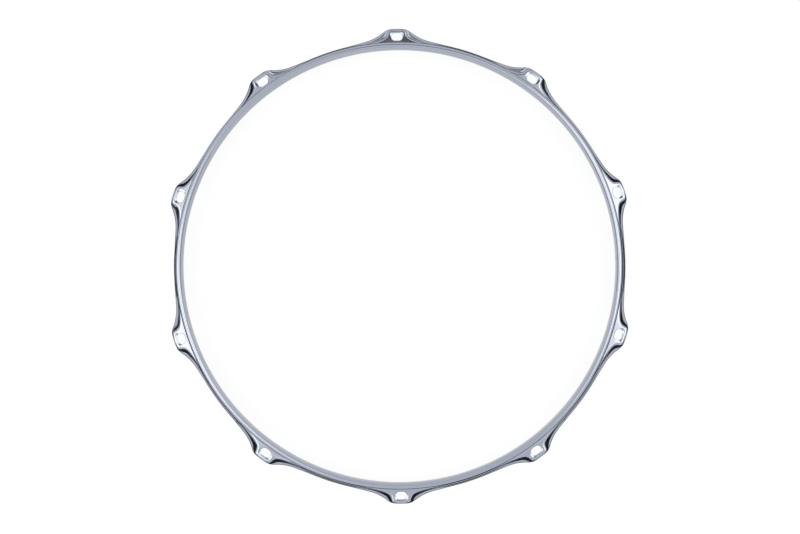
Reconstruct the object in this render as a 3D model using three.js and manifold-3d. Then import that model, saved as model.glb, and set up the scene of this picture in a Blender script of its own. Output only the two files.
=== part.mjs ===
// A triple-flanged steel counter hoop for a 14 inch drum, with ten ears for tension rods.
// Millimetres, +Z up. The origin is the centre of the ring on the plane that the hoop lies on.
//
// The real hoop is one pressing of sheet steel. From the top down it has a rolled lip, an upright
// collar, a seat flange that presses on the drumhead, and a skirt with an outward foot flange. At each
// tension rod the skirt swings outwards round a raised ear. Here the collar is one ring, and the skirt is
// cut on upright planes midway between ears, so each ear is a solid with its own share of the skirt.

import * as THREE from 'three';
import { mergeVertices } from 'three/addons/utils/BufferGeometryUtils.js';
import Module from 'manifold-3d';

const wasm = await Module();
wasm.setup();

// Driving dimensions, in millimetres
const boreRadius = 180;
const sheet = 2.3;
const seatWidth = 4.7;
const height = 34;
const seatHeight = 14;
const lipOverhang = 1.6;
const footWidth = 2.8;
const innerBend = 0.5;
const rootLand = 0.2;
const earCount = 10;

// The oval hole in each ear: across is along the ring, deep is away from the centre
const holeAcross = 9.4;
const holeDeep = 6.4;
const holeFlare = 0.9;
const holeRootMargin = 1.3;
const holeTipMargin = 3.8;
const holeSideMargin = 0.7;

// The ear's blunt tip: how far its edge is turned down, and how far that edge stands out
const tipDrop = 1;
const tipFoot = 1;

// The butt weld's bead on the inner wall
const weldWidth = 1.4;
const weldProud = 0.3;

// One overrun for every cut
const overrun = 2;

// Facets: the ring's straight steps from an ear to midway between ears, and the steps of one bend
const stepsPerHalfPitch = 6;
const bendSteps = 2;
const holeEndSteps = 6;

// Sizes that follow from those
const halfPitch = Math.PI / earCount;
const outerBend = sheet + innerBend;
const collarOuter = boreRadius + sheet;
const skirtInner = boreRadius + seatWidth;
const skirtOuter = skirtInner + sheet;
const rootRadius = skirtInner - innerBend - rootLand;
const footOuter = skirtOuter + footWidth;
const seatTop = seatHeight + sheet;
const skirtDrop = seatTop - sheet;
const holeRadius = skirtOuter + holeRootMargin + holeDeep / 2;
const tipRadius = holeRadius + holeDeep / 2 + holeTipMargin;
const earHalfWidth = holeAcross / 2 + holeFlare + holeSideMargin + outerBend;

const chrome = new THREE.MeshStandardMaterial({ color: 0xc9ccd6, roughness: 0.12, metalness: 1 });
const weldMetal = new THREE.MeshStandardMaterial({ color: 0xb9bcc4, roughness: 0.3, metalness: 1 });

// Helpers

const lerp = (from, to, share) => from + (to - from) * share;

// A nudge, as a share of one step, that keeps rounding from putting a corner in the step before it
const stepNudge = 1e-9;

// The points of an arc in the plane of a profile, both ends included
function arc(centreAcross, centreUp, radius, fromTurn, toTurn, steps) {
  const points = [];
  for (let step = 0; step <= steps; step += 1) {
    const turn = Math.PI * lerp(fromTurn, toTurn, step / steps);
    points.push(new THREE.Vector2(
      centreAcross + radius * Math.cos(turn),
      centreUp + radius * Math.sin(turn),
    ));
  }
  return points;
}

// A point at an angle on the ring whose straight steps have their corners at the given radius
function onFacetedRing(radius, angle) {
  const step = halfPitch / stepsPerHalfPitch;
  const middle = (Math.floor(angle / step + stepNudge) + 1 / 2) * step;
  const distance = (radius * Math.cos(step / 2)) / Math.cos(angle - middle);
  return new THREE.Vector2(distance * Math.cos(angle), distance * Math.sin(angle));
}

// A closed solid through loops of points that all have the same count. A ring of loops closes on itself;
// otherwise flat caps close both ends, laid out in their own plane by the flatten function.
function skinLoops(loops, closedRing, flatten) {
  const count = loops[0].length;
  const positions = loops.flat().flatMap((point) => [point.x, point.y, point.z]);
  const index = [];
  const spans = closedRing ? loops.length : loops.length - 1;
  for (let span = 0; span < spans; span += 1) {
    const near = span * count;
    const far = ((span + 1) % loops.length) * count;
    for (let corner = 0; corner < count; corner += 1) {
      const next = (corner + 1) % count;
      index.push(near + corner, far + corner, far + next);
      index.push(near + corner, far + next, near + next);
    }
  }
  if (!closedRing) {
    const last = (loops.length - 1) * count;
    capTriangles(loops[0].map(flatten)).forEach(([a, b, c]) => index.push(a, b, c));
    capTriangles(loops.at(-1).map(flatten)).forEach(([a, b, c]) => index.push(last + a, last + c, last + b));
  }
  const geometry = new THREE.BufferGeometry();
  geometry.setAttribute('position', new THREE.Float32BufferAttribute(positions, 3));
  geometry.setIndex(index);
  return facingOut(geometry);
}

// The triangles that fill a flat outline, each turned the way that the outline runs
function capTriangles(outline) {
  const { area, triangulateShape } = THREE.ShapeUtils;
  const turn = Math.sign(area(outline));
  return triangulateShape(outline, []).map(([a, b, c]) => {
    const sameWay = turn * area([outline[a], outline[b], outline[c]]) > 0;
    return sameWay ? [a, b, c] : [a, c, b];
  });
}

// The same geometry with its triangles turned round if they face inwards
function facingOut(geometry) {
  const place = geometry.getAttribute('position');
  const index = geometry.getIndex();
  const [a, b, c] = [new THREE.Vector3(), new THREE.Vector3(), new THREE.Vector3()];
  let volume = 0;
  for (let at = 0; at < index.count; at += 3) {
    a.fromBufferAttribute(place, index.getX(at));
    b.fromBufferAttribute(place, index.getX(at + 1));
    c.fromBufferAttribute(place, index.getX(at + 2));
    volume += a.dot(b.cross(c));
  }
  if (volume < 0) {
    for (let at = 0; at < index.count; at += 3) {
      const second = index.getX(at + 1);
      index.setX(at + 1, index.getX(at + 2));
      index.setX(at + 2, second);
    }
  }
  return geometry;
}

function toSolid(geometry) {
  const plain = geometry.clone();
  plain.deleteAttribute('normal');
  plain.deleteAttribute('uv');
  const merged = mergeVertices(plain);
  return new wasm.Manifold(new wasm.Mesh({
    numProp: 3,
    vertProperties: new Float32Array(merged.getAttribute('position').array),
    triVerts: new Uint32Array(merged.getIndex().array),
  }));
}

function toGeometry(solid) {
  const mesh = solid.getMesh();
  const geometry = new THREE.BufferGeometry();
  geometry.setAttribute('position', new THREE.Float32BufferAttribute(mesh.vertProperties, 3));
  geometry.setIndex(Array.from(mesh.triVerts));
  return geometry;
}

function namedMesh(name, geometry, material) {
  geometry.computeVertexNormals();
  const mesh = new THREE.Mesh(geometry, material);
  mesh.name = name;
  return mesh;
}

// The collar: lip, upper wall and seat flange, the same all the way round

function collarProfile() {
  const lipOuter = collarOuter + lipOverhang;
  const lipEdge = sheet / 2;
  const underLip = height - sheet;
  return [
    ...arc(boreRadius + outerBend, seatHeight + outerBend, outerBend, 1, 1.5, bendSteps),
    new THREE.Vector2(rootRadius, seatHeight),
    new THREE.Vector2(rootRadius, seatTop),
    ...arc(collarOuter + innerBend, seatTop + innerBend, innerBend, 1.5, 1, 1),
    ...arc(collarOuter + innerBend, underLip - innerBend, innerBend, 1, 1 / 2, 1),
    ...arc(lipOuter - lipEdge, underLip + lipEdge, lipEdge, -1 / 2, 1 / 2, 2 * bendSteps),
    ...arc(boreRadius + outerBend, height - outerBend, outerBend, 1 / 2, 1, bendSteps + 1),
  ];
}

function collar() {
  const profile = collarProfile();
  const loops = [];
  const stepCount = 2 * earCount * stepsPerHalfPitch;
  for (let step = 0; step < stepCount; step += 1) {
    const angle = (step * halfPitch) / stepsPerHalfPitch;
    loops.push(profile.map((point) => {
      const place = onFacetedRing(point.x, angle);
      return new THREE.Vector3(place.x, place.y, point.y);
    }));
  }
  return namedMesh('collar', skinLoops(loops, true), chrome);
}

// The ears: from above, the wall's line and the foot's edge are curves that start at the tip's corner and
// end on the skirt's own circles. Their handles are shares of the ear's half width, along the ring, and of
// the ear's reach, away from it.
const wallAlongShares = [0.87, 1.02, 1.65, 3.5];
const wallOutShares = [0.98, 0.1, 0.02, 0];
const footAlongShares = [0.98, 1.54, 2.42, 3.96];
const footOutShares = [1, 0.64, 0.14, 0];

// The last station on the tip's straight front, as shares of the half width at the wall and at the edge
const frontWallShare = 0.57;
const frontFootShare = 0.68;

// Stations along those curves, as shares of a curve, and where each one meets the collar, as shares of the
// half pitch. The collar's own corners are among them.
const curveShares = [0, 0.08, 0.16, 0.26, 0.38, 0.52, 0.68, 0.84, 1];
const frontRootShare = 0.0625;
const curveRootShares = [0.1042, 0.1354, 1 / 6, 0.2083, 0.25, 1 / 3, 0.4167, 1 / 2, 0.5833];
const spanShares = [0.28, 0.6, 1];
const spanRootShares = [2 / 3, 5 / 6, 1];

// The ear's wings are ramps: how much of the skirt's depth the foot has reached at each station of the curve
const curveDropShares = [0.16, 0.24, 0.32, 0.42, 0.55, 0.71, 0.86, 0.96, 1];

// A bend may take at most these shares of the drop that it turns through
const shoulderDropShare = 0.45;
const footDropShare = 0.3;
const underDropShare = 0.2;
const heelDropShare = 0.7;

// A point in the ear's own frame, where +Y runs out through the tip
function bentRound(along, radius) {
  const angle = along / skirtOuter;
  return new THREE.Vector2(radius * Math.sin(angle), radius * Math.cos(angle));
}

function bezier(shares, at) {
  const back = 1 - at;
  return shares[0] * back ** 3
    + 3 * shares[1] * back ** 2 * at
    + 3 * shares[2] * back * at ** 2
    + shares[3] * at ** 3;
}

// The stations of half an ear, from the middle of the tip to midway between ears
function halfEarStations() {
  const wallReach = tipRadius - tipFoot - skirtOuter;
  const footReach = tipRadius - footOuter;
  const wallAt = (along, out) => bentRound(along * earHalfWidth, skirtOuter + out * wallReach);
  const footAt = (along, out) => bentRound(along * earHalfWidth, footOuter + out * footReach);
  const stations = [
    { root: 0, wall: wallAt(0, 1), edge: footAt(0, 1), drop: tipDrop },
    {
      root: frontRootShare * halfPitch,
      wall: wallAt(frontWallShare, 1),
      edge: footAt(frontFootShare, 1),
      drop: tipDrop,
    },
  ];
  curveShares.forEach((share, number) => {
    stations.push({
      root: curveRootShares[number] * halfPitch,
      wall: wallAt(bezier(wallAlongShares, share), bezier(wallOutShares, share)),
      edge: footAt(bezier(footAlongShares, share), bezier(footOutShares, share)),
      drop: lerp(tipDrop, skirtDrop, curveDropShares[number]),
    });
  });
  const spanAlong = halfPitch * skirtOuter;
  spanShares.forEach((share, number) => {
    stations.push({
      root: spanRootShares[number] * halfPitch,
      wall: bentRound(lerp(wallAlongShares.at(-1) * earHalfWidth, spanAlong, share), skirtOuter),
      edge: bentRound(lerp(footAlongShares.at(-1) * earHalfWidth, spanAlong, share), footOuter),
      drop: skirtDrop,
    });
  });
  return stations;
}

const mirrored = (point) => new THREE.Vector2(-point.x, point.y);

// All the stations of one ear, from one side to the other, each with the outward direction of its wall
function earStations() {
  const half = halfEarStations();
  const otherHalf = half.slice(1).reverse().map((station) => ({
    root: -station.root,
    wall: mirrored(station.wall),
    edge: mirrored(station.edge),
    drop: station.drop,
  }));
  const stations = [...otherHalf, ...half];
  const last = stations.length - 1;
  stations.forEach((station, number) => {
    if (number === 0 || number === last) {
      station.outward = station.wall.clone().normalize();
      return;
    }
    const before = stations[number].wall.clone().sub(stations[number - 1].wall).normalize();
    const after = stations[number + 1].wall.clone().sub(stations[number].wall).normalize();
    const along = before.clone().add(after).normalize();
    const mitre = 1 / along.dot(before);
    station.outward = new THREE.Vector2(-along.y, along.x).multiplyScalar(mitre);
  });
  return stations;
}

// The sheet's section at one station: along its upper skin from the collar to the edge of the foot, and
// back along its lower skin. Across is measured from the wall's outer face.
function sheetSection(station) {
  const { drop } = station;
  const shoulder = Math.min(outerBend, shoulderDropShare * drop);
  const instep = Math.min(innerBend, footDropShare * drop);
  const under = Math.min(innerBend, underDropShare * drop);
  const heel = Math.min(outerBend, heelDropShare * drop);
  const footTop = seatTop - drop;
  const footUnder = footTop - sheet;
  const underSeat = seatTop - sheet;
  const upper = [
    ...arc(-shoulder, seatTop - shoulder, shoulder, 1 / 2, 0, bendSteps),
    ...arc(instep, footTop + instep, instep, 1, 1.5, bendSteps),
  ];
  const lower = [
    ...arc(heel - sheet, footUnder + heel, heel, 1.5, 1, bendSteps),
    ...arc(-sheet - under, underSeat - under, under, 0, 1 / 2, bendSteps),
  ];
  const place = (point) => {
    const across = station.wall.clone().addScaledVector(station.outward, point.x);
    return new THREE.Vector3(across.x, across.y, point.y);
  };
  const at = (plan, up) => new THREE.Vector3(plan.x, plan.y, up);
  return {
    outer: [...upper.map(place), at(station.edge, footTop), at(station.edge, footUnder), ...lower.map(place)],
    under: underSeat,
  };
}

// Turns a point of the ear's own frame to the ear's place on the ring
function turned(point, earAngle) {
  const turn = earAngle - Math.PI / 2;
  return new THREE.Vector3(
    point.x * Math.cos(turn) - point.y * Math.sin(turn),
    point.x * Math.sin(turn) + point.y * Math.cos(turn),
    point.z,
  );
}

// The cutter of the oval hole: straight through the sheet, and flared where it meets the upper face
function holeCutter(earAngle) {
  const endRadius = holeDeep / 2;
  const straight = (holeAcross - holeDeep) / 2;
  const levels = [
    [seatTop + overrun, holeFlare],
    [seatTop, holeFlare],
    [seatTop - holeFlare, 0],
    [seatHeight - overrun, 0],
  ];
  const loops = levels.map(([up, grow]) => [
    ...arc(straight, holeRadius, endRadius + grow, -1 / 2, 1 / 2, holeEndSteps),
    ...arc(-straight, holeRadius, endRadius + grow, 1 / 2, 1.5, holeEndSteps),
  ].map((point) => turned(new THREE.Vector3(point.x, point.y, up), earAngle)));
  return toSolid(skinLoops(loops, false, (point) => new THREE.Vector2(point.x, point.y)));
}

function ear(number) {
  const earAngle = (2 * number + 1) * halfPitch;
  const loops = earStations().map((station) => {
    const section = sheetSection(station);
    const root = onFacetedRing(rootRadius, earAngle - station.root);
    return [
      new THREE.Vector3(root.x, root.y, seatTop),
      ...section.outer.map((point) => turned(point, earAngle)),
      new THREE.Vector3(root.x, root.y, section.under),
    ];
  });
  const skirt = toSolid(skinLoops(loops, false, (point) => new THREE.Vector2(Math.hypot(point.x, point.y), point.z)));
  const name = `ear_${String(number + 1).padStart(2, '0')}`;
  return namedMesh(name, toGeometry(skirt.subtract(holeCutter(earAngle))), chrome);
}

// The weld: a low bead on a flat step of the collar's inner wall, from its lower bend to its upper one
function weldSeam() {
  const step = halfPitch / stepsPerHalfPitch;
  const angle = step / 2;
  const wallFace = boreRadius * Math.cos(angle);
  const bottom = seatHeight + outerBend;
  const top = height - outerBend;
  const section = [
    new THREE.Vector2(wallFace, -weldWidth / 2),
    new THREE.Vector2(wallFace, weldWidth / 2),
    new THREE.Vector2(wallFace - weldProud, weldWidth / 4),
    new THREE.Vector2(wallFace - weldProud, -weldWidth / 4),
  ];
  const loops = [bottom, top].map((up) => section.map((point) => new THREE.Vector3(
    point.x * Math.cos(angle) - point.y * Math.sin(angle),
    point.x * Math.sin(angle) + point.y * Math.cos(angle),
    up,
  )));
  return namedMesh('weld_seam', skinLoops(loops, false, (point) => new THREE.Vector2(point.x, point.y)), weldMetal);
}

const hoop = new THREE.Group();
hoop.add(collar());
for (let number = 0; number < earCount; number += 1) {
  hoop.add(ear(number));
}
hoop.add(weldSeam());

export default hoop;
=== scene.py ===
# %% [markdown]
# # A pressed steel drum hoop
# This lesson dresses a triple-flanged counter hoop: the ring that holds a head on a 14 inch drum. The real
# thing starts as a flat strip of steel. It is rolled, welded into a ring, pressed into shape and plated
# with chrome. The CAD model comes in first as a fixed frame, and every size that it knows is read from it.

# %% Load the frame
import math

import bpy
from mathutils import Matrix, Vector


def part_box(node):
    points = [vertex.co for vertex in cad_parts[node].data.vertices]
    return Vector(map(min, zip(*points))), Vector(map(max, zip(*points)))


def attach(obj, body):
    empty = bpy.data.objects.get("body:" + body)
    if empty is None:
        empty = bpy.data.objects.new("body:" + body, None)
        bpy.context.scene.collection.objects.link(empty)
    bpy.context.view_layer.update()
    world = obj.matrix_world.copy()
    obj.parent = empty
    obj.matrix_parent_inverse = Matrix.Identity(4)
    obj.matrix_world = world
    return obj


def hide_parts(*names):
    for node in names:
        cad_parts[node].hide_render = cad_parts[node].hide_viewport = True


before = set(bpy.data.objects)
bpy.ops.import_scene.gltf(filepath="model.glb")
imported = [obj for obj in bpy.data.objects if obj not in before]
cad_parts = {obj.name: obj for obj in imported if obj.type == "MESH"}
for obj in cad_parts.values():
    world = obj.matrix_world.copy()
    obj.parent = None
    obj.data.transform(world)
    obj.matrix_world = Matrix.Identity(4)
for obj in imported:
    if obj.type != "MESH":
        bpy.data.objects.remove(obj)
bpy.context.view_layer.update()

# %% [markdown]
# ## Sizes
# Blender works in metres, and a hoop is drawn in millimetres, so one value turns one into the other. The
# height of the ring and of the ears comes from the frame, so the visual model can't drift away from the CAD
# model. The sheet's thickness, the bore and the skirt are this hoop's own driving sizes.

# %% Sizes of the sheet and the ring
MM = 0.001
EAR_COUNT = 10
PITCH = 2 * math.pi / EAR_COUNT
SHEET = 2.3
HALF_SHEET = SHEET / 2
BORE = 180
SKIRT = 187
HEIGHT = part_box("collar")[1].z / MM
EAR_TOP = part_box("ear_03")[1].z / MM
SEAT_MIDDLE = EAR_TOP - HALF_SHEET
print("the ring is", round(HEIGHT, 2), "mm high, and its ears lie at", round(EAR_TOP, 2))

# %% [markdown]
# ## Small tools
# The same few steps come up all the time: work on one piece only, choose some of its faces or edges by their
# place, and apply a modifier. Each is written once here. Nothing is selected by hand, so that the script does
# the same in every run.


# %% Helpers for objects and edit mode
def select_only(piece):
    bpy.ops.object.select_all(action="DESELECT")
    piece.select_set(True)
    bpy.context.view_layer.objects.active = piece


def edit(piece):
    """Makes the piece the only chosen one, with nothing in its mesh selected."""
    select_only(piece)
    bpy.ops.object.mode_set(mode="EDIT")
    bpy.ops.mesh.select_mode(type="FACE")
    bpy.ops.mesh.select_all(action="DESELECT")
    bpy.ops.object.mode_set(mode="OBJECT")


def pick(items, wanted):
    """Selects the items of a mesh that the test wants, and goes to edit mode."""
    count = 0
    for item in items:
        item.select = wanted(item)
        count += item.select
    bpy.ops.object.mode_set(mode="EDIT")
    return count


def apply_modifier(piece, name, kind, **settings):
    modifier = piece.modifiers.new(name, kind)
    for key, value in settings.items():
        setattr(modifier, key, value)
    select_only(piece)
    bpy.ops.object.modifier_apply(modifier=modifier.name)


def blend(low, high, share):
    return low + (high - low) * share


def ease(share):
    share = min(max(share, 0), 1)
    return share * share * (3 - 2 * share)


# %% [markdown]
# ## The blank: one flat strip for one ear
# The ten ears are alike, so only a tenth of the ring is modelled, from midway before an ear to midway after
# it. It begins as the press begins: with a flat strip. A grid is added whose rows will run round the ring
# and whose columns will run from the lip down to the foot. Each zone of the section has its own rows, close
# together in the bends and far apart on the flats. The ears could also be cut out of a lathed ring, but then
# they wouldn't flow out of its skirt as pressed metal does.

# %% The rows of the section, zone by zone
BEND_ROWS = [0.1, 0.3, 0.5, 0.7, 0.9, 1]
ZONES = [
    ("curl", [0, 0.25, 0.5, 0.75, 1]),
    ("lip", [1]),
    ("lip_bend", BEND_ROWS),
    ("collar", [0.5, 1]),
    ("seat_bend", BEND_ROWS),
    ("seat", [0.06, 0.16, 0.27, 0.35, 0.43, 0.51, 0.59, 0.67, 0.75, 0.83, 0.91, 1]),
    ("shoulder", [0.08, 0.2, 0.35, 0.5, 0.65, 0.8, 0.92, 1]),
    ("skirt", [0.5, 1]),
    ("foot_bend", BEND_ROWS),
    ("foot", [1]),
]
ROWS = [(zone, share) for zone, shares in ZONES for share in shares]
ROW_GAPS = len(ROWS) - 1

# %% The columns, three to each station of the drawing
COLUMNS_PER_STATION = 3
HALF_STATIONS = 12
COLUMNS = 2 * HALF_STATIONS * COLUMNS_PER_STATION
print(len(ROWS), "rows and", COLUMNS + 1, "columns")

# %% [markdown]
# ## The rails: how the ear swings out of the skirt
# From above, four lines describe the ear: where its flat top ends, where the rounded shoulder ends and the
# wall begins, where that wall meets the foot, and the edge of the foot. Each is a list of stations from the
# middle of the ear towards midway between two ears: how far along the ring, and how far out from its centre.
# For the last three, a second list says how deep the line lies below the ear's flat at the same stations.
# Two more lists say where each station starts at the lip, and how round the shoulder is there.

# %% Stations of half an ear
ROOT_ALONG = [0, 1.6, 3, 4.2, 5.1, 5.9, 7.3, 10.4, 17, 28, 38]
FLAT_RAIL = [
    (0, 195.9), (2.8, 195.9), (4.9, 195.8), (6, 195.2), (6.5, 193.4), (7.1, 191.6),
    (8.4, 190), (11.6, 188.2), (17.2, 186.8), (27.4, 185.8), (38, 185.4),
]
SHOULDER_RAIL = [
    (0, 196.6), (3.1, 196.6), (5.7, 196.6), (6.9, 196), (7.3, 194.2), (8, 192.3),
    (9.3, 190.7), (12.6, 189.1), (18, 187.6), (27.8, 186.3), (38, 185.8),
]
WALL_RAIL = [
    (0, 196.9), (3.4, 196.9), (6.7, 196.9), (8.7, 196), (9.8, 194.4), (11.1, 192.6),
    (13, 191), (16, 189.5), (20.4, 187.9), (28.4, 186.5), (38, 185.9),
]
EDGE_RAIL = [
    (0, 198.1), (3.6, 198.1), (7.3, 197.8), (9.9, 196.7), (11.8, 195.3), (13.9, 194),
    (16.7, 192.6), (20.3, 191.3), (25.5, 190.2), (32, 190), (39, 189.7),
]
SHOULDER_DROP = [0.03, 0.03, 0.1, 0.4, 0.5, 0.5, 0.7, 0.9, 0.9, 0.7, 0.6]
WALL_DROP = [0.08, 0.08, 1.1, 3.4, 3.9, 4.3, 5, 6.3, 8.2, 10.8, 12.4]
EDGE_DROP = [0.2, 0.2, 1.5, 3.9, 4.6, 5.4, 6.6, 8.1, 10.2, 12.7, 14.35]
SOFTNESS = [0.55, 0.55, 0.55, 0.6, 0.6, 0.6, 0.6, 0.6, 0.6, 0.6, 0.6]
print(len(FLAT_RAIL), "stations from the ear's middle outwards")

# %% [markdown]
# ## Between two stations
# A pressed sheet flows, so no rail may show a corner at a station. A B-spline gives every point between the
# stations from its four neighbours. Past the ear's middle and past midway to the next ear it reads the
# stations mirrored, so neighbouring sectors meet without a kink. A subdivision modifier would smooth the
# mesh as well, but it would round every bend by the same rule, and here each bend has its own size.

# %% Read a rail anywhere
HALF_PITCH_ALONG = PITCH / 2 * SKIRT
ROUND_CORNER = 0.5523


def station(values, number):
    """A rail's value at a station of any number, mirrored past the ear's middle and past midway."""
    if number < 0:
        along, out = station(values, -number)
        return -along, out
    if number > HALF_STATIONS:
        along, out = station(values, 2 * HALF_STATIONS - number)
        return 2 * HALF_PITCH_ALONG - along, out
    last = len(values) - 1
    if number <= last:
        return values[number]
    share = (number - last) / (HALF_STATIONS - last)
    return blend(values[last][0], HALF_PITCH_ALONG, share), values[last][1]


def smoothed(near, t):
    """The uniform cubic B-spline through four neighbouring values."""
    weights = [(1 - t) ** 3, 3 * t**3 - 6 * t**2 + 4, -3 * t**3 + 3 * t**2 + 3 * t + 1, t**3]
    return sum(weight * value for weight, value in zip(weights, near)) / 6


def on_rail(values, at):
    """Where a rail runs in plan, between two of its stations."""
    first = math.floor(at)
    near = [station(values, first + step - 1) for step in range(4)]
    return [smoothed([value[part] for value in near], at - first) for part in range(2)]


def at_station(values, at):
    """A number, such as a drop, that is the same on both sides of the ear."""
    return on_rail([(0, value) for value in values], at)[1]


def on_ring(along, out, up):
    """A place in millimetres round the ring, as a point in metres, with the ear's middle on +Y."""
    angle = along / SKIRT
    return Vector((out * math.sin(angle), out * math.cos(angle), up)) * MM


def bend(start, corner, end, share, softness=ROUND_CORNER):
    """A bend from start to end that turns at the corner, like a quarter circle unless told otherwise."""
    a, b = start.lerp(corner, softness), end.lerp(corner, softness)
    rest = 1 - share
    return start * rest**3 + a * 3 * rest**2 * share + b * 3 * rest * share**2 + end * share**3


print("the ear's edge reaches", round(on_rail(EDGE_RAIL, 0)[1], 2), "mm at its tip")

# %% [markdown]
# ## The section at one column
# Cut across anywhere, the hoop is one line: a curl, the lip, the upright collar, the seat, the shoulder, the
# sloping skirt and the foot. The section gives that line's corners at the middle of the sheet. The press then
# lays each row of the strip on the line, straight in the flats and round in the bends. Spinning one drawn
# section round the centre would be simpler, but this one changes all along the ear.

# %% Sizes of the bends
INNER_BEND = 0.5
BEND = INNER_BEND + HALF_SHEET
LIP_BEND = 1.2
LIP_SLACK = 0.01
LIP_WIDTH = 1.3
LIP_REACH = BORE + SHEET + LIP_WIDTH
CURL = 0.75
CURL_SLOPE = math.radians(50)
FOOT_BEND = 3.1
FOOT_BEND_SHARE = 0.8
EDGE_ROUND = 0.75
WALL_LINE = BORE + HALF_SHEET
SEAT_START = WALL_LINE + BEND


# %% The section's corners, and where the press puts a point
def column_section(at):
    """The corners of the sheet's middle surface at one column, from the lip to the foot's edge."""
    root = on_rail([(along, 0) for along in ROOT_ALONG], at)[0]
    lip = HEIGHT - HALF_SHEET - LIP_SLACK
    shoulder_drop = at_station(SHOULDER_DROP, at)
    wall_drop = at_station(WALL_DROP, at)
    shoulder_end = on_ring(*on_rail(SHOULDER_RAIL, at), SEAT_MIDDLE - shoulder_drop)
    wall_foot = on_ring(*on_rail(WALL_RAIL, at), SEAT_MIDDLE - wall_drop)
    return {
        "lip_edge": on_ring(root, LIP_REACH + CURL * math.cos(CURL_SLOPE), lip - CURL * math.sin(CURL_SLOPE)),
        "lip_turn": on_ring(root, LIP_REACH, lip),
        "curl_start": on_ring(root, LIP_REACH - CURL, lip),
        "lip_start": on_ring(root, WALL_LINE + LIP_BEND, lip),
        "lip_corner": on_ring(root, WALL_LINE, lip),
        "collar_top": on_ring(root, WALL_LINE, lip - LIP_BEND),
        "collar_foot": on_ring(root, WALL_LINE, SEAT_MIDDLE + BEND),
        "seat_corner": on_ring(root, WALL_LINE, SEAT_MIDDLE),
        "seat_start": on_ring(root, SEAT_START, SEAT_MIDDLE),
        "flat_end": on_ring(*on_rail(FLAT_RAIL, at), SEAT_MIDDLE),
        "shoulder_corner": wall_foot.lerp(shoulder_end, wall_drop / (wall_drop - shoulder_drop)),
        "shoulder_end": shoulder_end,
        "wall_foot": wall_foot,
        "edge": on_ring(*on_rail(EDGE_RAIL, at), SEAT_MIDDLE - at_station(EDGE_DROP, at)),
    }


def pressed_place(at, zone, share):
    """Where the press puts one point of the strip."""
    c = column_section(at)
    down = c["wall_foot"] - c["shoulder_end"]
    out = c["edge"] - c["wall_foot"]
    out -= out.normalized() * EDGE_ROUND * MM
    turn = min(FOOT_BEND * MM, down.length / 2, out.length * FOOT_BEND_SHARE)
    bend_start = c["wall_foot"] - down.normalized() * turn
    bend_end = c["wall_foot"] + out.normalized() * turn
    if zone == "curl":
        return bend(c["lip_edge"], c["lip_turn"], c["curl_start"], share)
    if zone == "lip":
        return c["curl_start"].lerp(c["lip_start"], share)
    if zone == "lip_bend":
        return bend(c["lip_start"], c["lip_corner"], c["collar_top"], share)
    if zone == "collar":
        return c["collar_top"].lerp(c["collar_foot"], share)
    if zone == "seat_bend":
        return bend(c["collar_foot"], c["seat_corner"], c["seat_start"], share)
    if zone == "seat":
        return c["seat_start"].lerp(c["flat_end"], share)
    if zone == "shoulder":
        return bend(c["flat_end"], c["shoulder_corner"], c["shoulder_end"], share, at_station(SOFTNESS, at))
    if zone == "skirt":
        return c["shoulder_end"].lerp(bend_start, share)
    if zone == "foot_bend":
        return bend(bend_start, c["wall_foot"], bend_end, share)
    return bend_end.lerp(c["wall_foot"] + out, share)


print("the lip lies at", round(column_section(0)["lip_turn"].z / MM, 2), "mm, in the middle of its sheet")

# %% [markdown]
# ## Press the strip
# The faces that the hole needs are deleted while the strip is still flat, because there a column and a row
# say where a face is. The open border round them stays selected for the next step. Then every vertex moves
# to its place in the pressed section.

# %% Lay out the strip
bpy.ops.object.select_all(action="DESELECT")
bpy.ops.mesh.primitive_grid_add(x_subdivisions=COLUMNS, y_subdivisions=ROW_GAPS, size=1, location=(0, 0, 0))
pressing = bpy.context.active_object
pressing.name = "hoop_pressing"
print("the strip has", len(pressing.data.polygons), "faces")

# %% Open the block of faces that the hole needs
HOLE_FIRST_ROW = ROWS.index(("seat", 0.27))
HOLE_LAST_ROW = ROWS.index(("seat", 1))
HOLE_STATIONS = 4
STRIP_OUTLINE = 0.4999


def cell_of(point):
    """Column and row of a point of the flat strip, as numbers that may lie between two."""
    return (point.x + 0.5) * COLUMNS, (point.y + 0.5) * ROW_GAPS


def in_hole_block(face):
    column, row = cell_of(face.center)
    near = abs(column - COLUMNS / 2) < HOLE_STATIONS * COLUMNS_PER_STATION
    return near and HOLE_FIRST_ROW < row < HOLE_LAST_ROW


def on_strip_outline(point):
    return max(abs(point.x), abs(point.y)) > STRIP_OUTLINE


edit(pressing)
removed = pick(pressing.data.polygons, in_hole_block)
bpy.ops.mesh.delete(type="FACE")
bpy.ops.mesh.select_mode(type="EDGE")
bpy.ops.mesh.select_non_manifold(extend=False)
bpy.ops.object.mode_set(mode="OBJECT")
mesh = pressing.data
border = pick(mesh.edges, lambda edge: edge.select and not all(
    on_strip_outline(mesh.vertices[corner].co) for corner in edge.vertices))
bpy.ops.mesh.select_mode(type="EDGE")
bpy.ops.object.mode_set(mode="OBJECT")
for vertex in mesh.vertices:
    vertex.select = vertex.select and not on_strip_outline(vertex.co)
print("opened", removed, "faces for the hole, whose border has", border, "edges")

# %% Press it
for vertex in mesh.vertices:
    column, row = cell_of(vertex.co)
    at = (round(column) - COLUMNS / 2) / COLUMNS_PER_STATION
    vertex.co = pressed_place(at, *ROWS[round(row)])
print("pressed", len(mesh.polygons), "faces")

# %% [markdown]
# ## The oval hole with its dish
# The rod's washer sits in a shallow dish round an oval hole. The open block's border is extruded inwards
# ring by ring, as by hand, and each ring is laid between the border and the oval and sunk a little deeper. A
# boolean would cut the hole in one step, but its long thin faces would show in a mirror finish.

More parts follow.
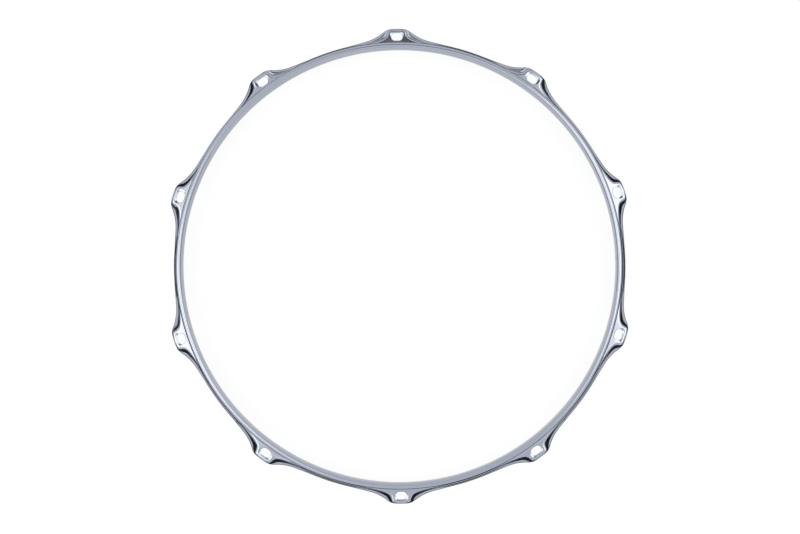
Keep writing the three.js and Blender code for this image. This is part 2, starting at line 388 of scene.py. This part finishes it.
# %% The oval
HOLE_ACROSS = 9.4
HOLE_DEEP = 6.4
HOLE_ROUND = 0.3
HOLE_OUT = 191.5
OVAL_STEPS = 720
TURN_SLACK = 1e-6
hole_middle = Vector((0, HOLE_OUT * MM, SEAT_MIDDLE * MM))


def on_oval(share):
    """A point of the oval in millimetres from its middle, at a share of the way round from its inner side."""
    radius = HOLE_DEEP / 2 + HOLE_ROUND
    half_straight = (HOLE_ACROSS - HOLE_DEEP) / 2
    half_turn = math.pi * radius
    way = share * 2 * (half_turn + 2 * half_straight)
    if way > half_turn + 2 * half_straight:
        across, deep = on_oval(1 - share)
        return -across, deep
    if way < half_straight:
        return way, -radius
    if way > half_straight + half_turn:
        return 2 * half_straight + half_turn - way, radius
    turn = (way - half_straight) / radius
    return half_straight + radius * math.sin(turn), -radius * math.cos(turn)


def turn_of(across, deep):
    """The direction of a point seen from the hole's middle, from 0 to a full turn, from the inner side."""
    turn = math.atan2(across, -deep)
    return turn if turn > -TURN_SLACK else turn + 2 * math.pi


def hole_ring(vertices):
    """The chosen vertices in the order of the way round the hole."""
    chosen = [vertex for vertex in vertices if vertex.select]
    return sorted(chosen, key=lambda vertex: turn_of(*(vertex.co - hole_middle).xy))


oval_turns = [turn_of(*on_oval(step / OVAL_STEPS)) for step in range(OVAL_STEPS)]
ring = hole_ring(mesh.vertices)
ovals = []
for vertex in ring:
    turn = turn_of(*(vertex.co - hole_middle).xy)
    nearest = min(range(OVAL_STEPS), key=lambda step: abs(oval_turns[step] - turn))
    ovals.append(Vector((*on_oval(nearest / OVAL_STEPS), 0)) * MM + hole_middle)
print(len(ovals), "points of the oval found")

# %% How deep each point of the dish sinks
DISH_DEPTH = 0.14
DISH_SLOPE = 0.4
sinks = []
for vertex, oval in zip(ring, ovals):
    towards_tip = ease((oval.y - hole_middle.y) / (HOLE_DEEP / 2 * MM) / 2 + 0.5) ** 2
    sinks.append(min(DISH_DEPTH * MM, DISH_SLOPE * (vertex.co - oval).length) * towards_tip)
print("the dish sinks", round(max(sinks) / MM, 2), "mm at most")

# %% Extrude the border inwards, ring by ring
RING_SHARES = [0.2, 0.6, 1]
RING_MERGE = 0.22
past_share = 0
select_only(pressing)
bpy.ops.object.mode_set(mode="EDIT")
bpy.ops.mesh.select_mode(type="EDGE")
for ring_share in RING_SHARES:
    bpy.ops.mesh.extrude_edges_move()
    bpy.ops.object.mode_set(mode="OBJECT")
    step = (ring_share - past_share) / (1 - past_share)
    sink_share = ((ring_share - RING_SHARES[0]) / (1 - RING_SHARES[0])) ** 2
    for vertex, oval, sink in zip(hole_ring(pressing.data.vertices), ovals, sinks):
        vertex.co = vertex.co.lerp(oval, step)
        vertex.co.z = hole_middle.z - sink * sink_share
    past_share = ring_share
    bpy.ops.object.mode_set(mode="EDIT")
bpy.ops.mesh.remove_doubles(threshold=RING_MERGE * MM)
bpy.ops.object.mode_set(mode="OBJECT")
print("one ear has", len(pressing.data.polygons), "faces")

# %% [markdown]
# ## Round the ring
# The sector is copied nine times with spin, the borders are merged, and the thin surface gets the sheet's
# thickness from Solidify. An array modifier could copy it too, but it needs a second object to turn about. A
# face of the lip shows which side is up, so that the sheet isn't inside out.

# %% Ten ears
SEAM_MERGE = 0.005
edit(pressing)
bpy.ops.object.mode_set(mode="EDIT")
bpy.ops.mesh.select_all(action="SELECT")
bpy.ops.mesh.spin(
    steps=EAR_COUNT - 1, angle=(EAR_COUNT - 1) * PITCH, dupli=True, center=(0, 0, 0), axis=(0, 0, 1)
)
bpy.ops.mesh.select_all(action="SELECT")
bpy.ops.mesh.remove_doubles(threshold=SEAM_MERGE * MM)
bpy.ops.mesh.normals_make_consistent(inside=False)
bpy.ops.object.mode_set(mode="OBJECT")
lip_face = max(pressing.data.polygons, key=lambda face: face.center.z)
if lip_face.normal.z < 0:
    bpy.ops.object.mode_set(mode="EDIT")
    bpy.ops.mesh.flip_normals()
    bpy.ops.object.mode_set(mode="OBJECT")
print("ten ears have", len(pressing.data.polygons), "faces")

# %% One sheet, with its cut edges marked by a second material
for slot_name in ("skin", "rim"):
    pressing.data.materials.append(bpy.data.materials.new(slot_name))
apply_modifier(
    pressing, "sheet", "SOLIDIFY", thickness=SHEET * MM, offset=0, use_even_offset=True,
    use_quality_normals=True, material_offset_rim=1,
)
print("whole ring:", len(pressing.data.polygons), "faces")

# %% [markdown]
# ## Rounded cut edges
# A sheared edge is sharp until tumbling and plating round it. Bevel leaves spikes where the hole's short
# edges meet, so the rims are rounded by two small insets instead, each of which steps out a little. The holes
# get smaller steps than the outer edges, because a washer needs their flat.

# %% Step the rims out
HOLE_REACH_SHARE = 0.58
OUTER_STEPS = ((0.22, 0.45), (0.38, 0.3))
HOLE_STEPS = ((0.25, 0.2), (0.3, 0.1))
RIM_SLOT = 1


def near_hole(point):
    """Whether a point lies at the nearest ear's hole, seen from above."""
    angle = math.atan2(point.x, point.y)
    turned = Matrix.Rotation(round(angle / PITCH) * PITCH, 3, "Z") @ point
    return math.hypot(turned.x / MM, turned.y / MM - HOLE_OUT) < HOLE_ACROSS * HOLE_REACH_SHARE


for what, at_hole, steps in (("outer", False, OUTER_STEPS), ("hole", True, HOLE_STEPS)):
    edit(pressing)
    found = pick(
        pressing.data.polygons,
        lambda face: face.material_index == RIM_SLOT and near_hole(face.center) == at_hole,
    )
    for inwards, outwards in steps:
        bpy.ops.mesh.inset(thickness=inwards * MM, depth=outwards * MM, use_even_offset=True)
    bpy.ops.object.mode_set(mode="OBJECT")
    print("rounded", found, what, "rim faces")

# %% Smooth the bends and keep the creases
CREASE = math.radians(50)
select_only(pressing)
bpy.ops.object.shade_smooth_by_angle(angle=CREASE)
print("triangles:", sum(len(face.vertices) - 2 for face in pressing.data.polygons))

# %% [markdown]
# ## Tools for materials
# A material is a tree of nodes, and so is the room's light. A node is added in one line that names its
# inputs, and three patterns come up again: sums, a smooth step from 0 to 1, and one colour over another.


# %% Helpers for nodes
def add(tree, kind, *inputs, **settings):
    """A node with its settings and its first inputs: numbers, other nodes' outputs, or None to leave one."""
    node = tree.nodes.new(kind)
    for key, value in settings.items():
        setattr(node, key, value)
    for number, value in enumerate(inputs):
        if isinstance(value, bpy.types.NodeSocket):
            tree.links.new(value, node.inputs[number])
        elif value is not None:
            node.inputs[number].default_value = value
    return node


def maths(tree, operation, *values):
    return add(tree, "ShaderNodeMath", *values, operation=operation).outputs[0]


def rise(tree, value, low, high):
    """0 at low, 1 at high, and smooth between."""
    ramp = add(tree, "ShaderNodeMapRange", value, low, high, 0.0, 1.0, interpolation_type="SMOOTHSTEP")
    return ramp.outputs[0]


def plain(tree, colour):
    node = add(tree, "ShaderNodeRGB")
    node.outputs[0].default_value = (*colour, 1)
    return node.outputs[0]


def paint(tree, below, mask, colour):
    """The colour laid over what is below, where the mask is 1."""
    node = add(tree, "ShaderNodeMix", data_type="RGBA")
    tree.links.new(mask, node.inputs["Factor"])
    tree.links.new(below, node.inputs["A"])
    node.inputs["B"].default_value = (*colour, 1)
    return node.outputs["Result"]


def noise(tree, place, scale, detail):
    return add(tree, "ShaderNodeTexNoise", place, None, scale, detail).outputs["Fac"]


def make_bumpy(tree, shader, height, strength, distance):
    bump = add(tree, "ShaderNodeBump")
    bump.inputs["Strength"].default_value = strength
    bump.inputs["Distance"].default_value = distance
    tree.links.new(height, bump.inputs["Height"])
    tree.links.new(bump.outputs[0], shader.inputs["Normal"])


def principled(name, colour, metallic, roughness):
    material = bpy.data.materials.new(name)
    material.use_nodes = True
    shader = material.node_tree.nodes["Principled BSDF"]
    shader.inputs["Base Color"].default_value = (*colour, 1)
    shader.inputs["Metallic"].default_value = metallic
    shader.inputs["Roughness"].default_value = roughness
    return material, material.node_tree, shader


# %% [markdown]
# ## Chrome
# Chrome shows the room around it, so its own colour is nearly neutral. What makes it real is small: fine
# polishing lines round the ring, haze from handling and a faint waviness of the plated sheet. The lines are a
# noise whose space is rolled up: stretched out along the ring, and pressed together across it. A drawn
# scratch texture would need an unwrapped mesh, and this noise needs none. Its one seam, on the left, is too
# faint to see. The specular tint keeps grazing mirror images grey, so that the inner wall doesn't turn white.

# %% Chrome with polishing lines round the ring
CHROME = (0.455, 0.487, 0.558)
PALE_CHROME = (0.5, 0.53, 0.6)
CHROME_EDGE = (0.56, 0.57, 0.6)
LINES_OUT, LINES_UP = 500, 160
LINE_SCALE, LINE_DETAIL = 1.6, 3.0
LINE_RANGE = (0.4, 0.65)
chrome, tree, shader = principled("chrome_plate", CHROME, 1, 0.07)
shader.inputs["Specular Tint"].default_value = (*CHROME_EDGE, 1)
place = add(tree, "ShaderNodeTexCoord").outputs["Object"]
x, y, z = add(tree, "ShaderNodeSeparateXYZ", place).outputs
angle = maths(tree, "ARCTAN2", y, x)
squares = maths(tree, "ADD", maths(tree, "MULTIPLY", x, x), maths(tree, "MULTIPLY", y, y))
rolled = add(
    tree, "ShaderNodeCombineXYZ", angle,
    maths(tree, "MULTIPLY", maths(tree, "SQRT", squares), LINES_OUT), maths(tree, "MULTIPLY", z, LINES_UP),
)
lines = rise(tree, noise(tree, rolled.outputs[0], LINE_SCALE, LINE_DETAIL), *LINE_RANGE)
tree.links.new(paint(tree, plain(tree, CHROME), lines, PALE_CHROME), shader.inputs["Base Color"])
print("the lines take", len(tree.nodes), "nodes")

# %% Haze from hands and a faint waviness of the sheet
HAZE_SCALE, HAZE_DETAIL = 60.0, 4.0
HAZE_RANGE = (0.3, 0.7)
ROUGHNESS_RANGE = (0.05, 0.095)
WAVE_SCALE, WAVE_DETAIL = 45.0, 1.0
WAVE_STRENGTH, WAVE_DEPTH = 0.05, 0.001
haze = noise(tree, place, HAZE_SCALE, HAZE_DETAIL)
rough = add(tree, "ShaderNodeMapRange", haze, *HAZE_RANGE, *ROUGHNESS_RANGE).outputs[0]
tree.links.new(rough, shader.inputs["Roughness"])
make_bumpy(tree, shader, noise(tree, place, WAVE_SCALE, WAVE_DETAIL), WAVE_STRENGTH, WAVE_DEPTH)
pressing.data.materials.clear()
pressing.data.materials.append(chrome)
print("chrome has", len(tree.nodes), "nodes")

# %% [markdown]
# ## The weld bead
# Where the rolled strip meets itself, a low bead of weld stays on the inner wall. The CAD model's bead lies
# on flat facets, so on the round wall it would float by a hair. A bar of the same height and width is added
# instead, sunk into the sheet, with its edges beveled round as a ground bead's are.

# %% A low bar sunk into the wall
BEAD_DEEP = 0.7
BEAD_PROUD = 0.3
BEAD_ROUND = 0.28
weld_low, weld_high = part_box("weld_seam")
bead_turn = math.atan2((weld_low.y + weld_high.y) / 2, (weld_low.x + weld_high.x) / 2)
bead_out = (BORE - BEAD_PROUD + BEAD_DEEP / 2) * MM
bead_up = (weld_low.z + weld_high.z) / 2
bpy.ops.object.select_all(action="DESELECT")
bpy.ops.mesh.primitive_cube_add(
    size=1, rotation=(0, 0, bead_turn),
    location=(bead_out * math.cos(bead_turn), bead_out * math.sin(bead_turn), bead_up),
)
bead = bpy.context.active_object
bead.name = "weld_bead"
bead.scale = (BEAD_DEEP * MM, weld_high.y - weld_low.y, weld_high.z - weld_low.z)
bpy.ops.object.transform_apply(location=True, rotation=True, scale=True)
bpy.ops.object.mode_set(mode="EDIT")
bpy.ops.mesh.select_all(action="SELECT")
bpy.ops.mesh.bevel(offset=BEAD_ROUND * MM, segments=3)
bpy.ops.object.mode_set(mode="OBJECT")
bpy.ops.object.shade_smooth_by_angle(angle=CREASE)
print("bead of", len(bead.data.polygons), "faces")

# %% [markdown]
# ## Weld metal
# The bead is plated with the rest, but it was ground and not polished, so it is duller and finely rippled.

# %% Dull, rippled weld metal
WELD_COLOUR = (0.4, 0.42, 0.46)
RIPPLE_SCALE, RIPPLE_DETAIL = 900.0, 2.0
RIPPLE_STRENGTH, RIPPLE_DEPTH = 0.4, 0.0004
weld, tree, shader = principled("weld_metal", WELD_COLOUR, 1, 0.3)
place = add(tree, "ShaderNodeTexCoord").outputs["Object"]
make_bumpy(tree, shader, noise(tree, place, RIPPLE_SCALE, RIPPLE_DETAIL), RIPPLE_STRENGTH, RIPPLE_DEPTH)
bead.data.materials.append(weld)
print("weld metal has", len(tree.nodes), "nodes")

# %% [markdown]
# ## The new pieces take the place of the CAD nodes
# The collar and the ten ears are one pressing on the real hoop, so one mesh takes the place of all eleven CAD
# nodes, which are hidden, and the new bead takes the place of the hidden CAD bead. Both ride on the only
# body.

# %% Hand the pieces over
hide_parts("collar", *["ear_%02d" % (number + 1) for number in range(EAR_COUNT)])
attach(pressing, "root")
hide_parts("weld_seam")
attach(bead, "root")
print("handed over", pressing.name, "and", bead.name)

# %% [markdown]
# ## The white table
# The photograph shows the hoop on pure white. The table's own colour and a glow that only the camera and
# mirror-like surfaces see make that white, so the lamps stay plain and the hoop keeps its shadow. Stronger
# lamps would whiten the table as well, but they would bleach what stands on it.

# %% Floor
FLOOR_SIZE = 14
FLOOR_DROP = 0.0002
TABLE_WHITE = (0.9, 0.9, 0.9)
GLOW = 1.06
GLOW_SHARE = 0.82
bpy.ops.object.select_all(action="DESELECT")
bpy.ops.mesh.primitive_plane_add(size=FLOOR_SIZE, location=(0, 0, -FLOOR_DROP))
floor = bpy.context.active_object
floor.name = "floor"
white, tree, shader = principled("white_table", TABLE_WHITE, 0, 0.9)
floor.data.materials.append(white)
path = add(tree, "ShaderNodeLightPath").outputs
seen = maths(tree, "MAXIMUM", path["Is Camera Ray"], path["Is Glossy Ray"])
seen = maths(tree, "MAXIMUM", seen, path["Is Transmission Ray"])
glow = add(tree, "ShaderNodeEmission", (1, 1, 1, 1), GLOW).outputs[0]
share = maths(tree, "MULTIPLY", seen, GLOW_SHARE)
mix = add(tree, "ShaderNodeMixShader", share, shader.outputs[0], glow)
tree.links.new(mix.outputs[0], tree.nodes["Material Output"].inputs["Surface"])
print("the table is", FLOOR_SIZE, "m wide")

# %% [markdown]
# ## Black cards
# Chrome in an all-white room turns white and loses its shape. So a studio stands black cards round it, just
# outside the picture: they draw the dark lines on the ears' flanks and along the foot. Two larger screens
# stand farther away. Only the chrome sees any of them, and they cast no shadow. Lines painted on the chrome
# would be quicker, but they would stay where they are when the view turns.

# %% Standing cards and screens
CARD = 0.004
CARDS = (
    ("flag_left_front", (-0.355, -0.34), (CARD, 0.56, 0.055)),
    ("flag_left_back", (-0.355, 0.15), (CARD, 0.12, 0.055)),
    ("flag_right", (0.355, -0.21), (CARD, 0.82, 0.055)),
    ("flag_front", (0, -0.33), (0.7, CARD, 0.06)),
    ("flag_back", (0, 0.33), (0.7, CARD, 0.07)),
    ("screen_left", (-0.95, -0.2), (CARD, 0.7, 0.36)),
    ("screen_right", (0.95, -0.2), (CARD, 0.7, 0.36)),
)
CARD_BLACK = (0.01, 0.01, 0.012)
black = principled("black_card", CARD_BLACK, 0, 1)[0]


def make_card(card):
    card.data.materials.append(black)
    for kind in ("camera", "diffuse", "transmission", "shadow"):
        setattr(card, "visible_" + kind, False)


for name, middle, size in CARDS:
    bpy.ops.object.select_all(action="DESELECT")
    bpy.ops.mesh.primitive_cube_add(size=1, location=(*middle, size[2] / 2))
    card = bpy.context.active_object
    card.name = name
    card.scale = size
    bpy.ops.object.transform_apply(location=False, rotation=False, scale=True)
    make_card(card)
print(len(CARDS), "cards stand round the hoop")

# %% [markdown]
# ## A black ring on the table
# The bend above the foot mirrors the table close by, so a standing card can't darken it. A black ring lies
# round the hoop for it. It is left open behind the hoop and straight to its left, where the foot stays light
# in the photograph.

# %% The lying ring
APRON_INNER = 0.204
APRON_UP = 0.0004
APRON_SIDES = 96
APRON_GROWTHS = (1.3, 2.7)
WINDOW_REACH = 0.25
BACK_SHARE, LEFT_SHARE = 0.8, 0.08


def in_window(face):
    reach = face.center.xy.length
    behind = face.center.y > BACK_SHARE * reach
    straight_left = face.center.x < 0 and abs(face.center.y) < LEFT_SHARE * reach
    return reach < WINDOW_REACH and (behind or straight_left)


bpy.ops.object.select_all(action="DESELECT")
bpy.ops.mesh.primitive_circle_add(
    vertices=APRON_SIDES, radius=APRON_INNER, fill_type="NOTHING", location=(0, 0, APRON_UP)
)
apron = bpy.context.active_object
apron.name = "black_apron"
bpy.ops.object.mode_set(mode="EDIT")
bpy.ops.mesh.select_all(action="SELECT")
for growth in APRON_GROWTHS:
    bpy.ops.mesh.extrude_edges_move()
    bpy.ops.transform.resize(value=(growth, growth, 1), center_override=(0, 0, APRON_UP))
bpy.ops.object.mode_set(mode="OBJECT")
edit(apron)
opened = pick(apron.data.polygons, in_window)
bpy.ops.mesh.delete(type="FACE")
bpy.ops.object.mode_set(mode="OBJECT")
make_card(apron)
print("left", opened, "faces of the ring open")

# %% [markdown]
# ## Lamps
# Two softboxes, one on each side, light the table and the hoop evenly. Chrome would show them as hard white
# rectangles, so mirror-like surfaces don't see them. What the chrome mirrors overhead is painted in the room.

# %% Two softboxes
LAMP_CLIMB = math.radians(50)
LAMP_DISTANCE = 1.6
LAMP_WIDTH, LAMP_DEPTH = 1.4, 1.0
RADIANCE = 0.8
for name, side in (("left_lamp", -1), ("right_lamp", 1)):
    spot = Vector((side * math.cos(LAMP_CLIMB), 0, math.sin(LAMP_CLIMB))) * LAMP_DISTANCE
    bpy.ops.object.light_add(type="AREA", location=spot)
    lamp = bpy.context.active_object
    lamp.name = name
    lamp.data.shape = "RECTANGLE"
    lamp.data.size = LAMP_WIDTH
    lamp.data.size_y = LAMP_DEPTH
    lamp.data.energy = RADIANCE * math.pi * LAMP_WIDTH * LAMP_DEPTH
    lamp.visible_camera = False
    lamp.visible_glossy = False
    lamp.rotation_euler = (-spot).to_track_quat("-Z", "Y").to_euler()
    print(name, "at", [round(part, 2) for part in spot])

# %% [markdown]
# ## The room
# Seen from above, the lip and the ears' flats mirror what is overhead, and the wings mirror the walls. So the
# world is painted by direction: pale walls, two white boxes overhead with a gap between them for the camera,
# and a dark corner that turns part of the top ear's flat dark. A photographed studio could light it too, but
# each of these masks can be moved by itself. The camera sees plain white past the hoop.

# %% Pale walls
WALLS = (0.8, 0.81, 0.85)
world = bpy.data.worlds.new("studio")
bpy.context.scene.world = world
world.use_nodes = True
room = world.node_tree
for node in list(room.nodes):
    room.nodes.remove(node)
direction = add(room, "ShaderNodeTexCoord").outputs["Generated"]
east, north, up = add(room, "ShaderNodeSeparateXYZ", direction).outputs
colour = plain(room, WALLS)
print("the walls are", WALLS)

# %% Two white boxes overhead, with a gap between them
BOX_COLOUR = (2.1, 2.1, 2.0)
BOX_TURN = math.radians(14)
BOX_GAP = (0.08, 0.098)
BOX_GAP_SHIFT = 0.01
BOX_END = (0.16, 0.12)
BOX_LOW = (58, 64)


def turned(first, second, operation):
    """The first direction's part along the boxes' turned axis, with the second's part added or taken off."""
    kept = maths(room, "MULTIPLY", first, math.cos(BOX_TURN))
    return maths(room, operation, kept, maths(room, "MULTIPLY", second, math.sin(BOX_TURN)))


along = turned(east, north, "ADD")
across = turned(north, east, "SUBTRACT")
elevation = maths(room, "MULTIPLY", maths(room, "ARCSINE", up), 180 / math.pi)
from_gap = maths(room, "ABSOLUTE", maths(room, "ADD", along, BOX_GAP_SHIFT))
box_mask = maths(room, "MULTIPLY", rise(room, from_gap, *BOX_GAP),
                 rise(room, maths(room, "ABSOLUTE", across), *BOX_END))
box_mask = maths(room, "MULTIPLY", box_mask, rise(room, elevation, *BOX_LOW))
colour = paint(room, colour, box_mask, BOX_COLOUR)
print("the boxes end", BOX_LOW, "degrees above the horizon")

# %% A dark corner of the room behind the hoop
DARK = (0.07, 0.085, 0.075)
DARK_START, DARK_END, DARK_SIDE = (0.112, 0.118), (0.26, 0.22), (0.09, 0.05)
dark_mask = maths(room, "MULTIPLY", rise(room, north, *DARK_START), rise(room, north, *DARK_END))
dark_mask = maths(room, "MULTIPLY", dark_mask, rise(room, maths(room, "ABSOLUTE", east), *DARK_SIDE))
colour = paint(room, colour, dark_mask, DARK)
print("the corner is", DARK)

# %% White where the camera looks past the hoop
seen_directly = add(room, "ShaderNodeLightPath").outputs["Is Camera Ray"]
colour = paint(room, colour, seen_directly, (1, 1, 1))
light = add(room, "ShaderNodeBackground", colour, 1.0)
add(room, "ShaderNodeOutputWorld", light.outputs[0])
print("the room has", len(room.nodes), "nodes")

# %% [markdown]
# ## Camera
# The photograph was taken from almost straight above and a little off the middle, with a slight roll. The
# place, the view's width and the roll were found by fitting the two circles of the ring to the picture.

# %% Camera
VIEW_WIDTH = 0.6605
CAMERA_RISE = 1.8
SENSOR = 36
ROLL = math.radians(-0.54)
CAMERA_EAST, CAMERA_NORTH = 0.02763, -0.04323
TARGET_EAST, TARGET_NORTH = 0.00103, -0.00158
bpy.ops.object.camera_add(location=(CAMERA_EAST, CAMERA_NORTH, HEIGHT * MM + CAMERA_RISE))
camera = bpy.context.active_object
camera.name = "camera"
camera.data.sensor_width = SENSOR
camera.data.lens = SENSOR * CAMERA_RISE / VIEW_WIDTH
looked_at = Vector((TARGET_EAST, TARGET_NORTH, HEIGHT * MM))
back = (camera.location - looked_at).normalized()
top = (Vector((0, 1, 0)) - back * back.y).normalized()
turn = Matrix((top.cross(back), top, back)).transposed() @ Matrix.Rotation(ROLL, 3, "Z")
camera.rotation_euler = turn.to_euler()
bpy.context.scene.camera = camera
bpy.context.scene.view_settings.view_transform = "Standard"
print("the lens is", round(camera.data.lens, 1), "mm")
